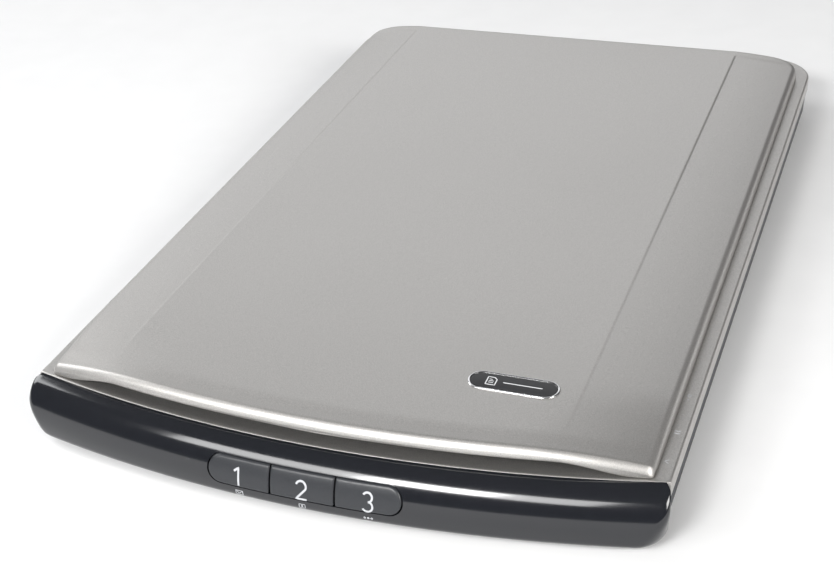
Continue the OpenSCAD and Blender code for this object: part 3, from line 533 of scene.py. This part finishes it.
def make_lid():
    half = LID_HALF
    left, right = CREASE_LEFT, CREASE_RIGHT
    across = spaced((-half, -half + 4, 9), (-half + 4, left - CREASE_NEAR, 8),
                    (left - CREASE_NEAR, left + CREASE_NEAR, 18),
                    (left + CREASE_NEAR, right - CREASE_NEAR, 60),
                    (right - CREASE_NEAR, right + CREASE_NEAR, 18),
                    (right + CREASE_NEAR, half - 4, 10), (half - 4, half, 9))
    length = LID_BACK - LID_FRONT
    lip = [LIP_DEEP * (1 - math.cos(math.pi / 2 * i / 9)) for i in range(9)]
    rest = spaced((LIP_DEEP - 0.07, LIP_DEEP + 0.07, 1), (LIP_DEEP + 0.07, 16, 12), (16, 60, 18),
                  (60, length - 22, 50), (length - 22, length - 9, 14), (length - 9, length, 16))
    along = [d / length for d in lip + rest]
    cols = [x / half for x in across]
    shape = Shape()

    def outer(u, t):
        x, y = lid_plan(u, t, 0)
        return x, y, lid_height(x, y)

    def inner(u, t):
        x, y = lid_plan(u, t, 0)
        px, py = lid_plan(u, t, LID_SKIN)
        return px, py, max(lid_height(x, y) - LID_SKIN, lid_lower_edge(x, y) + 0.9)

    skin = shape.grid([[outer(u, t) for u in cols] for t in along])
    lining = shape.grid([[inner(u, t) for u in cols] for t in along])

    def rim(ids):
        return (ids[0] + [r[-1] for r in ids[1:-1]] + ids[-1][::-1]
                + [r[0] for r in ids[-2:0:-1]])

    last = len(cols) - 1
    spots = ([(u, 0.0) for u in cols] + [(1.0, t) for t in along[1:-1]]
             + [(u, 1.0) for u in cols[::-1]] + [(-1.0, t) for t in along[-2:0:-1]])
    rings = []
    for inset, lift in ((0.0, 1.0), (0.0, 0.45), (0.13, 0.13), (0.45, 0.0), (1.6, 0.0), (2.0, 0.4)):
        ring = []
        for u, t in spots:
            x, y = lid_plan(u, t, 0)
            px, py = lid_plan(u, t, inset)
            ring.append((px, py, lid_lower_edge(x, y) + lift))
        rings.append(shape.add(ring))
    chain = [rim(skin)] + rings + [rim(lining)]
    for a, b in zip(chain, chain[1:]):
        shape.bridge(a, b)
    lid = shape.make("lid_cover", "silver_paint", 40)
    axis = [c / MM for c in HINGE_AT]
    cutters = []
    for side in (-1, 1):
        post_lo, post_hi = box_mm("hinge_post_left" if side < 0 else "hinge_post_right")
        mid = (post_lo[0] + post_hi[0]) / 2
        cutters.append(block(mid - 8.4, mid + 8.4, axis[1] - 3, LID_BACK + 2, 26, axis[2] + 1.5))
        cutters.append(tube_x(mid - 11.3, mid + 11.3, axis[1], axis[2], 3.0))
    cut(lid, cutters, 40)
    settle(lid, "lid", "silver_paint", "lid_shell")


def tube_x(x0, x1, y, z, r, n=40):
    shape = Shape()
    rings = shape.loops([[(x, y + r * math.cos(2 * math.pi * i / n), z + r * math.sin(2 * math.pi * i / n))
                          for i in range(n)] for x in (x0, x1)])
    shape.faces += [tuple(rings[0][::-1]), tuple(rings[1])]
    return shape.make("cutter", "steel")


HINGE_AT = next(j["pos_m"] for j in frame["joints"] if j["name"] == "lid_hinge")
make_lid()

# ---------------------------------------------------------------- top cover with its finger scoop

COVER_WALL = 2.2
COVER_PLATE = 2.0
COVER_ROUND = 1.0
SCOOP_DEPTH = 1.2
WIN_LO, WIN_HI = box_mm("calibration_strip")
WINDOW = (WIN_LO[0], WIN_HI[0], -158.0, 142.0)


POST_SOCKET_Y = (201.7, 209.3)
POST_SOCKET_Z = (20, 30)


def scoop_drop(x, y):
    behind = BOW_R - math.hypot(x, y - BOW_CY)
    shape = smooth_step((behind - 0.8) / 9) * smooth_step((24 - behind) / 11)
    return SCOOP_DEPTH * shape * smooth_step((124 - abs(x)) / 34)


def body_ring(inset, nf=150, ns=70, nc=20, nb=60):
    """Plan outline of the body, brought in by inset."""
    half, r = HALF - inset, BODY_CORNER - inset
    cx, cy = HALF - BODY_CORNER, BACK - BODY_CORNER
    ring = []
    for i in range(nf + 1):
        x = -half + 2 * half * i / nf
        ring.append((x, bow_y(x, -inset)))
    y0 = bow_y(half, -inset)
    ring += [(half, y0 + (cy - y0) * i / ns) for i in range(1, ns)]
    for i in range(nc + 1):
        a = math.pi / 2 * i / nc
        ring.append((cx + r * math.cos(a), cy + r * math.sin(a)))
    ring += [(cx - 2 * cx * i / nb, BACK - inset) for i in range(1, nb)]
    for i in range(nc + 1):
        a = math.pi / 2 * (1 + i / nc)
        ring.append((-cx + r * math.cos(a), cy + r * math.sin(a)))
    ring += [(-half, cy + (y0 - cy) * i / ns) for i in range(1, ns)]
    return ring


def window_ring(grow, nf=150, ns=70, nc=20, nb=60):
    """Points round the window, in step with body_ring."""
    x0, x1, y0, y1 = WINDOW[0] - grow, WINDOW[1] + grow, WINDOW[2] - grow, WINDOW[3] + grow
    turn = 8.0
    ring = [(x0 + (x1 - x0) * i / nf, y0) for i in range(nf + 1)]
    ring += [(x1, y0 + (y1 - turn - y0) * i / ns) for i in range(1, ns)]
    for i in range(nc + 1):
        s = 2 * i / nc
        ring.append((x1, y1 - turn + turn * min(s, 1)) if s <= 1 else (x1 - turn * (s - 1), y1))
    ring += [(x1 - turn + (x0 - x1 + 2 * turn) * i / nb, y1) for i in range(1, nb)]
    for i in range(nc + 1):
        s = 2 * i / nc
        ring.append((x0 + turn * (1 - s), y1) if s <= 1 else (x0, y1 - turn * (s - 1)))
    ring += [(x0, y1 - turn + (y0 - y1 + turn) * i / ns) for i in range(1, ns)]
    return ring


def make_cover():
    shape = Shape()
    side_heights = (SPLIT + 0.25, TOP - COVER_ROUND - 3, TOP - COVER_ROUND)
    rings = [[(x, y, z) for x, y in body_ring(0.02)] for z in side_heights]
    rings.insert(0, [(x, y, SPLIT) for x, y in body_ring(0.3)])
    for i in range(1, 7):
        a = math.pi / 2 * i / 6
        rings.append([(x, y, TOP - COVER_ROUND + COVER_ROUND * math.sin(a))
                      for x, y in body_ring(0.02 + COVER_ROUND * (1 - math.cos(a)))])
    edge, hole = body_ring(0.02 + COVER_ROUND), window_ring(0.4)
    for s in spaced((0.012, 0.5, 34), (0.5, 1, 10)):
        ring = []
        for (ax, ay), (bx, by) in zip(edge, hole):
            x, y = ax + (bx - ax) * s, ay + (by - ay) * s
            ring.append((x, y, TOP - scoop_drop(x, y)))
        rings.append(ring)
    rings.append([(x, y, TOP - 0.12) for x, y in window_ring(0.12)])
    rings.append([(x, y, TOP - 0.4) for x, y in window_ring(0)])
    rings.append([(x, y, TOP - COVER_PLATE) for x, y in window_ring(0)])
    inside = body_ring(COVER_WALL)
    for s in (0.5, 0.6, 0.7, 0.8, 0.9, 1):
        ring = []
        for (ax, ay), (bx, by) in zip(window_ring(0), inside):
            x, y = ax + (bx - ax) * s, ay + (by - ay) * s
            ring.append((x, y, TOP - COVER_PLATE - 0.6 * scoop_drop(x, y)))
        rings.append(ring)
    rings.append([(x, y, SPLIT) for x, y in inside])
    ids = shape.loops(rings)
    shape.bridge(ids[-1], ids[0])
    cover = shape.make("cover_shell", "silver_paint", 38)
    sockets = []
    for node in ("hinge_post_left", "hinge_post_right"):
        lo, hi = box_mm(node)
        sockets.append(block(lo[0] - 0.3, hi[0] + 0.3, *POST_SOCKET_Y, *POST_SOCKET_Z))
    cut(cover, sockets, 38)
    settle(cover, "base", "silver_paint", "top_cover")


make_cover()

# ---------------------------------------------------------------- bezel and keys

UPPER_POW, LOWER_POW = 1.9, 3.8
BEZEL_BULGE = 1.5
END_TOP_R, END_LOW_R = 1.8, 6.5
KEY_W, KEY_H, KEY_Z, ROW_X = 28.4, 11.8, 15.5, -2.5
KEY_PROUD = 0.4
KEY_DEPTH = 1.0  # how far a key's sides run back behind the bezel's face
KEY_GAP = 0.35
STEM_HALF, STEM_LOW, STEM_HIGH = 4, 13.8, 18.2
MOUTH_FRONT, MOUTH_BACK = -230.0, JOINT - 4.5
DIGIT_FOOT = KEY_Z - 5.0
ICON_LOW, ICON_HIGH, ICON_LINE = 5.6, 7.6, 0.26


def bezel_out(z):
    """How far the bezel stands forward of the joint at the height z."""
    if z >= BEZEL_MID:
        f = (z - BEZEL_MID) / (TOP - BEZEL_MID)
        return BEZEL_FWD * max(0.0, 1 - f ** UPPER_POW) ** (1 / UPPER_POW)
    f = (BEZEL_MID - z) / (BEZEL_MID - BEZEL_LOW)
    return BEZEL_FWD * max(0.0, 1 - f ** LOWER_POW) ** (1 / LOWER_POW)


def bezel_section(off, steps=22):
    points = []
    for i in range(steps + 1):
        a = math.pi / 2 * (1 - i / steps)
        points.append(((BEZEL_FWD + off) * max(0.0, math.cos(a)) ** (2 / UPPER_POW),
                       BEZEL_MID + (TOP - BEZEL_MID + off) * math.sin(a) ** (2 / UPPER_POW)))
    for i in range(1, steps + 1):
        a = math.pi / 2 * i / steps
        points.append(((BEZEL_FWD + off) * max(0.0, math.cos(a)) ** (2 / LOWER_POW),
                       BEZEL_MID - (BEZEL_MID - BEZEL_LOW + off) * math.sin(a) ** (2 / LOWER_POW)))
    return points


def bezel_half(z, inset):
    """Half the bezel's length at the height z, with rounded top and bottom corners."""
    s = min(1.0, max(0.0, (z - BEZEL_LOW) / (TOP - BEZEL_LOW)))
    crown = BEZEL_BULGE * math.sin(math.pi * s ** 1.9) ** 0.8
    return HALF - inset + crown - round_over(TOP - z, END_TOP_R) - round_over(z - BEZEL_LOW, END_LOW_R)


def bezel_point(f, out, z, inset):
    """f runs from -1 to 1 along the bezel; the ends turn back with a rounded plan."""
    half = bezel_half(z, inset)
    x = f * half
    d = half - abs(x)
    r = 2.6 + 6.0 * (1 - smooth_step((z - 5) / 15))
    plan = BEZEL_FWD - r + math.sqrt(max(0.0, r * r - max(0.0, r - d) ** 2))
    return x, bow_y(x, out * plan / BEZEL_FWD), z


def pill_ring(grow, n=28):
    return stadium(ROW_X, KEY_Z, 3 * KEY_W + 2 * grow, KEY_H + 2 * grow, 0, n)


def make_bezel():
    shape = Shape()
    ends = spaced((0, 2.4, 10), (2.4, 7, 8))
    skins = []
    along = [d / HALF - 1 for d in ends[:-1]] + spaced((7 / HALF - 1, 1 - 7 / HALF, 130))
    along += [1 - d / HALF for d in ends[-2::-1]]
    for off in (0.0, -COVER_WALL):
        rows = [[bezel_point(f, out, z, -off) for f in along] for out, z in bezel_section(off)]
        skins.append(shape.grid(rows))
    for ids in skins:
        for end in (0, -1):
            side = [row[end] for row in ids]
            points = [Vector(shape.verts[i]) for i in side]
            middle = sum(points, Vector()) / len(points)
            middle.y = (min(p.y for p in points) + max(p.y for p in points)) / 2
            shape.fan(side, middle)
    outer, inner = skins
    shape.bridge(outer[0], inner[0], closed=False)
    shape.bridge(outer[-1], inner[-1], closed=False)
    for end in (0, -1):
        shape.faces.append((outer[0][end], outer[-1][end], inner[-1][end], inner[0][end]))
    bezel = shape.make("bezel_shell", "bezel_gloss", 50)
    cutter = Shape()
    rings = cutter.loops([[(x, y, z) for x, z in pill_ring(KEY_GAP)] for y in (MOUTH_FRONT, MOUTH_BACK)])
    cutter.faces += [tuple(rings[0][::-1]), tuple(rings[1])]
    cut(bezel, [cutter.make("cutter", "steel")], 50)
    settle(bezel, "base", "bezel_gloss", "front_bezel")


def surface_at(x, z, lift):
    return x, bow_y(x, bezel_out(z) + lift), z


def key_outline(i, n=14):
    """Boundary of a key with its inward direction: round at the row's ends, straight between keys."""
    x0 = ROW_X + (i - 1.5) * KEY_W + 0.25
    x1 = x0 + KEY_W - 0.5
    radius = [0.9, 0.9, 0.9, 0.9]  # right-top, left-top, left-bottom, right-bottom
    if i == 0:
        radius[1] = radius[2] = KEY_H / 2
    if i == 2:
        radius[0] = radius[3] = KEY_H / 2
    corners = [(x1, KEY_Z + KEY_H / 2, 0), (x0, KEY_Z + KEY_H / 2, 90),
               (x0, KEY_Z - KEY_H / 2, 180), (x1, KEY_Z - KEY_H / 2, 270)]
    ring = []
    for (x, z, start), r in zip(corners, radius):
        cx = x - r if start in (0, 270) else x + r
        cz = z - r if start in (0, 90) else z + r
        for k in range(n + 1):
            a = math.radians(start + 90 * k / n)
            ring.append((cx + r * math.cos(a), cz + r * math.sin(a), -math.cos(a), -math.sin(a)))
    dense = []
    for a, b in zip(ring, ring[1:] + ring[:1]):
        steps = max(1, int(math.hypot(a[0] - b[0], a[1] - b[1]) / 1.2))
        for k in range(steps):
            f = k / steps
            dense.append(tuple(p + (q - p) * f for p, q in zip(a, b)))
    return dense, ((x0 + x1) / 2, KEY_Z)


def make_key(i):
    ring, centre = key_outline(i)
    shape = Shape()
    rings = []
    for inset, lift in ((0.0, -KEY_DEPTH), (0.0, -0.55), (0.04, -0.22), (0.15, 0.0), (0.33, 0.22),
                        (0.55, 0.34), (0.85, KEY_PROUD)):
        rings.append([surface_at(x + nx * inset, z + nz * inset, lift) for x, z, nx, nz in ring])
    for k in range(1, 12):
        f = k / 12
        rings.append([])
        for x, z, nx, nz in ring:
            px, pz = x + nx * 0.85, z + nz * 0.85
            rings[-1].append(surface_at(px + (centre[0] - px) * f, pz + (centre[1] - pz) * f, KEY_PROUD))
    ids = shape.loops(rings)
    shape.fan(ids[-1], surface_at(*centre, KEY_PROUD))
    lo, hi = box_mm(f"button_{i + 1}")
    stem = centre[0]
    back = [(stem - STEM_HALF, hi[1], STEM_LOW), (stem + STEM_HALF, hi[1], STEM_LOW),
            (stem + STEM_HALF, hi[1], STEM_HIGH), (stem - STEM_HALF, hi[1], STEM_HIGH)]
    front = [surface_at(x, z, -KEY_DEPTH) for x, _, z in back]
    shape.faces.append(tuple(ids[0][::-1]))
    root, tip = shape.add(front), shape.add(back)
    shape.bridge(root, tip)
    shape.faces += [tuple(root[::-1]), tuple(tip)]
    key = shape.make(f"key_cap_{i + 1}", "key_plastic", 50)
    settle(key, f"key_{i + 1}", "key_plastic", f"button_{i + 1}")

    def on_key(a, b, lift):
        return surface_at(centre[0] + a, DIGIT_FOOT + b, KEY_PROUD + lift)

    shape = Shape()
    ribbon(shape, walk(DIGIT_STROKES[i]), 0.85, on_key)
    digit = shape.make(f"key_digit_{i + 1}", "label_film", material=MATERIALS["print"])
    settle(digit, f"key_{i + 1}", "label_film")


def arc(cx, cy, r, start, end, n=24):
    return [(cx + r * math.cos(math.radians(start + (end - start) * k / n)),
             cy + r * math.sin(math.radians(start + (end - start) * k / n))) for k in range(n + 1)]


DIGIT_STROKES = (
    [(-1.7, 6.1), (0.3, 7.6), (0.3, 0.0)],
    arc(0, 5.4, 2.2, 160, -25) + [(-2.1, 0.0), (2.5, 0.0)],
    arc(0, 5.75, 1.95, 150, -75) + arc(0, 1.95, 2.2, 78, -150),
)
make_bezel()
for index in range(3):
    make_key(index)

# ---------------------------------------------------------------- small printed marks


def make_marks():
    def frame_line(x, half):
        corners = [(x - half, z0), (x + half, z0), (x + half, z1), (x - half, z1)]
        ribbon(shape, walk(corners, closed=True), ICON_LINE, surface_at, closed=True)

    shape = Shape()
    z0, z1 = ICON_LOW, ICON_HIGH
    x = ROW_X - KEY_W
    frame_line(x, 1.6)
    ribbon(shape, walk([(x - 1.5, z1 - 0.1), (x, z0 + 0.7), (x + 1.5, z1 - 0.1)]), ICON_LINE, surface_at)
    for dx in (-0.75, 0.75):
        frame_line(ROW_X + dx, 0.55)
    x = ROW_X + KEY_W
    for dx in (-1.5, 0, 1.5):
        ribbon(shape, circle(x + dx, (z0 + z1) / 2, 0.34, 14), 0.34, surface_at, closed=True)
    icons = shape.make("bezel_icons", "label_film", material=MATERIALS["print"])
    settle(icons, "base", "label_film")

    def on_flange(x, y, lift):
        return x, y, TOP + lift

    shape = Shape()
    ribbon(shape, circle(135.6, -134.2, 0.75), 0.3, on_flange, 0.04, True)
    ribbon(shape, circle(135.6, -137.0, 0.25, 12), 0.3, on_flange, 0.04, True)
    for y in (-160.5, -158.9):
        ribbon(shape, [(134.6, y), (137.0, y)], 0.55, on_flange, 0.04)
    ribbon(shape, [(136.6, -180.2), (134.8, -179.0), (136.6, -177.8)], 0.4, on_flange, 0.04)
    marks = shape.make("flange_marks", "label_film", material=MATERIALS["print"])
    settle(marks, "base", "label_film")


make_marks()

# ---------------------------------------------------------------- badge

BADGE_LO, BADGE_HI = box_mm("badge_rim")
BADGE_X, BADGE_Y = (BADGE_LO[0] + BADGE_HI[0]) / 2, (BADGE_LO[1] + BADGE_HI[1]) / 2
BADGE_L, BADGE_W = BADGE_HI[0] - BADGE_LO[0], BADGE_HI[1] - BADGE_LO[1]
BADGE_TOP = BADGE_HI[2]


def make_badge():
    def oval_at(inset, z):
        return [(x, y, z) for x, y in stadium(BADGE_X, BADGE_Y, BADGE_L, BADGE_W, inset, 28)]

    shape = Shape()
    profile = ((0.0, -0.75), (0.0, -0.28), (0.10, -0.10), (0.32, 0.0), (0.62, 0.0), (0.86, -0.10),
               (0.96, -0.30), (0.96, -0.75))
    ids = shape.loops([oval_at(i, BADGE_TOP + z) for i, z in profile])
    shape.bridge(ids[-1], ids[0])
    settle(shape.make("badge_frame", "badge_silver", 40), "lid", "badge_silver", "badge_rim")

    shape = Shape()
    rings = [oval_at(0.98, BADGE_TOP - 0.7), oval_at(0.98, BADGE_TOP - 0.34), oval_at(1.08, BADGE_TOP - 0.26)]
    rings += [oval_at(1.08 + k * 0.5, BADGE_TOP - 0.26 + 0.06 * smooth_step(k / 9)) for k in range(1, 10)]
    ids = shape.loops(rings)
    shape.faces += [tuple(ids[-1]), tuple(ids[0][::-1])]
    settle(shape.make("badge_face", "badge_black", 40), "lid", "badge_black", "badge_plate")

    def on_badge(x, y, lift):
        return BADGE_X + x, BADGE_Y + y, BADGE_TOP - 0.21 + lift

    shape = Shape()
    page = [(-11.4, -2.6), (-7.4, -2.6), (-7.4, 1.3), (-8.7, 2.6), (-11.4, 2.6)]
    ribbon(shape, walk(page, 0.8, True), 0.45, on_badge, 0.05, True)
    for y, x1 in ((1.1, -9.2), (0.0, -8.4), (-1.1, -8.4)):
        ribbon(shape, [(-10.6, y), (x1, y)], 0.35, on_badge, 0.05)
    ribbon(shape, [(-4.4, 0.0), (12.2, 0.0)], 0.5, on_badge, 0.05)
    motif = shape.make("badge_motif", "badge_silver")
    settle(motif, "lid", "badge_silver")


make_badge()

# ---------------------------------------------------------------- feet


def make_feet():
    shape = Shape()
    lo, hi = box_mm("feet")
    r = 7.0
    profile = ((r - 2.6, 0.35), (r - 2.2, 0.08), (r - 1.6, 0.0), (r - 0.8, 0.0), (r - 0.25, 0.22),
               (r, 0.8), (r, hi[2]))
    for cx in (lo[0] + r, hi[0] - r):
        for cy in (lo[1] + r, hi[1] - r):
            rings = [[(x, y, z) for x, y in circle(cx, cy, pr, 40)] for pr, z in profile]
            ids = shape.loops(rings)
            shape.fan(ids[0], (cx, cy, 0.35))
            shape.faces.append(tuple(ids[-1]))
    settle(shape.make("rubber_feet", "foot_rubber", 45), "base", "foot_rubber", "feet")


make_feet()

# ---------------------------------------------------------------- smooth-shaded copies of CAD shells


def smooth_copy(node, name, body, slot, sharp=28):
    """The CAD shell with the same shape and softer shading, standing for its node."""
    mesh = frame["nodes"][node].data.copy()
    mesh.name = name
    bm = bmesh.new()
    bm.from_mesh(mesh)
    bmesh.ops.remove_doubles(bm, verts=bm.verts, dist=1e-6)
    bm.to_mesh(mesh)
    bm.free()
    obj = bpy.data.objects.new(name, mesh)
    bpy.context.scene.collection.objects.link(obj)
    shade(mesh, sharp)
    settle(obj, body, slot, node)


smooth_copy("lower_case", "case_tub", "base", "case_plastic")


# ---------------------------------------------------------------- the fold of flat cable

fold_lo, fold_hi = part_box("ribbon_loop")


def make_fold():
    """The free run of the sensor's flat cable, from its fold on the floor up to the sensor."""
    shape = Shape()
    x0, x1 = fold_lo.x / MM, fold_hi.x / MM
    y0, y1 = fold_lo.y / MM, fold_hi.y / MM
    z0, z1 = fold_lo.z / MM, fold_hi.z / MM
    mid = z0 + 0.7
    path = [(y0 + 0.35 + 0.35 * math.cos(a), (z0 + mid) / 2 - 0.35 * math.sin(a))
            for a in [math.pi / 2 * (1 + 2 * i / 12) for i in range(13)]]
    path = [(y0 + 1.0, z0)] + path + [(y0 + 1.5 + (y1 - 3 - y0) * i / 60, mid) for i in range(61)]
    path += [(y1 - 0.9, mid + 0.3), (y1 - 0.3, mid + 1.0), (y1 - 0.1, mid + 2.0), (y1 - 0.1, z1)]
    rows = []
    for k, (y, z) in enumerate(path):
        a, b = path[max(0, k - 1)], path[min(len(path) - 1, k + 1)]
        d = math.hypot(b[0] - a[0], b[1] - a[1])
        ny, nz = -(b[1] - a[1]) / d * 0.1, (b[0] - a[0]) / d * 0.1
        rows.append([(x0, y - ny, z - nz), (x1, y - ny, z - nz), (x1, y + ny, z + nz), (x0, y + ny, z + nz)])
    ids = shape.loops(rows)
    shape.faces += [tuple(ids[0][::-1]), tuple(ids[-1])]
    fold = shape.make("cable_fold", "flat_cable", 40)
    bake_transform(fold)
    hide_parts("ribbon_loop")


make_fold()

# ---------------------------------------------------------------- floor


def make_floor():
    shape = Shape()
    size, n = 4000, 8
    marks = [-size + 2 * size * i / n for i in range(n + 1)]
    shape.grid([[(x, y, -0.02) for x in marks] for y in marks])
    paper = finish_material("floor_paper", (0.88, 0.88, 0.88), 0.75, grain=40, spread=0.01)
    floor = shape.make("floor", "steel", material=paper)


make_floor()
